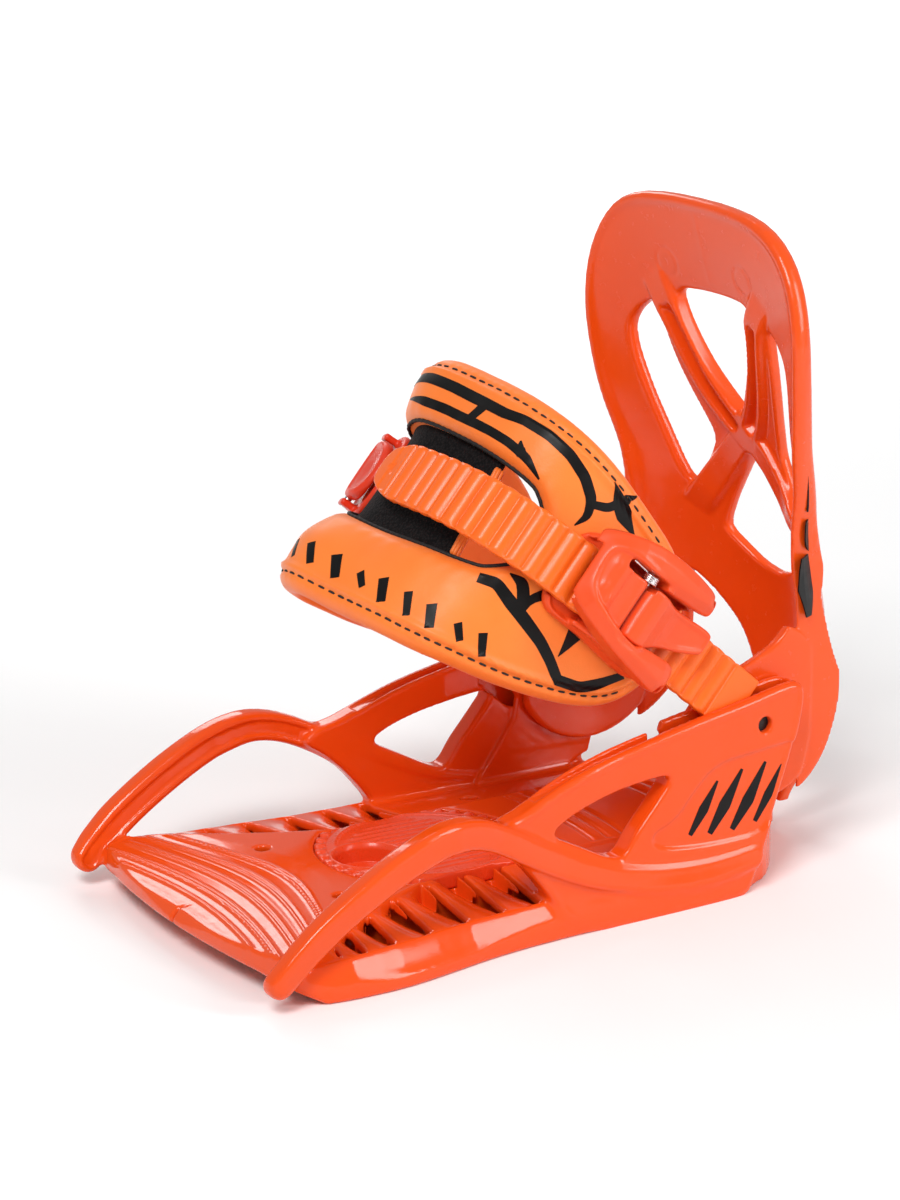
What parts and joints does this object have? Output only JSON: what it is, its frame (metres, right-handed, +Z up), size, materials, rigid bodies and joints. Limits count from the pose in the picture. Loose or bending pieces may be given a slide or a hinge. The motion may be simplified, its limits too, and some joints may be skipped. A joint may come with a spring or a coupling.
{
  "type": "strap-in snowboard binding",
  "caption": "Child's strap-in snowboard binding: moulded base with clamping disc, folding highback and a padded ratchet ankle strap.",
  "frame": {"origin": "centre of the two insert screws, on the plane of the board", "axes": "+X from toe to heel, +Z up off the board, ratchet buckle on the -Y side"},
  "size_m": [0.2363, 0.13, 0.2103],
  "materials": {
    "base_plastic": "moulded, satin gloss",
    "disc_plastic": "moulded, satin gloss",
    "highback_plastic": "moulded, glossy",
    "strap_plastic": "soft flexible plastic",
    "buckle_plastic": "moulded, glossy",
    "pad_leather": "coated synthetic leather over foam",
    "lining": "knit-faced foam lining",
    "welt": "folded welt",
    "steel": "plated"
  },
  "bodies": {
    "base": {"base_frame": "base_plastic", "mounting_disc": "disc_plastic", "anchor_bolt_near": "steel", "anchor_bolt_far": "steel", "anchor_washers": "steel"},
    "highback": {"highback": "highback_plastic"},
    "ladder": {"ladder_strap": "strap_plastic"},
    "strap": {"far_strap": "strap_plastic", "pad_shell": "pad_leather", "pad_lining": "lining", "seam_tape": "welt", "piping_front": "welt", "piping_rear": "welt", "buckle_base": "buckle_plastic", "lever_pin": "steel", "pawl_pin": "steel", "lever_spring": "steel", "pawl_spring": "steel", "buckle_screw": "steel", "buckle_nut": "steel", "adjuster_plate": "buckle_plastic", "adjuster_pin": "steel", "adjuster_screw": "steel"},
    "lever": {"buckle_lever": "buckle_plastic"},
    "pawl": {"buckle_pawl": "buckle_plastic"},
    "tab": {"adjuster_tab": "buckle_plastic"}
  },
  "joints": [
    {"name": "highback_fold", "type": "hinge", "parent": "base", "child": "highback", "pos_m": [0.0912, 0, 0.0547], "axis": [0, -1, 0], "range_deg": [0, 24]},
    {"name": "strap_swing", "type": "hinge", "parent": "base", "child": "strap", "pos_m": [0.0912, 0, 0.0547], "axis": [0, -1, 0], "range_deg": [-10, 10]},
    {"name": "ladder_swing", "type": "hinge", "parent": "base", "child": "ladder", "pos_m": [0.0912, 0, 0.0547], "axis": [0, -1, 0], "range_deg": [-10, 10]},
    {"name": "lever_open", "type": "hinge", "parent": "strap", "child": "lever", "pos_m": [0.02752, -0.0566, 0.10948], "axis": [-0.6521, 0, -0.7581], "range_deg": [0, 60], "stiffness_Nm_per_rad": 0.01, "springref_deg": -17.19},
    {"name": "pawl_release", "type": "hinge", "parent": "strap", "child": "pawl", "pos_m": [0.04116, -0.0584, 0.09774], "axis": [-0.6521, 0, -0.7581], "range_deg": [0, 12], "stiffness_Nm_per_rad": 0.02, "springref_deg": -17.19},
    {"name": "tab_lift", "type": "hinge", "parent": "strap", "child": "tab", "pos_m": [0.01051, 0.05045, 0.12411], "axis": [-0.6521, 0, -0.7581], "range_deg": [0, 40]}
  ],
  "couplings": [
    {"joint": "ladder_swing", "follows": "strap_swing", "ratio": 1}
  ]
}
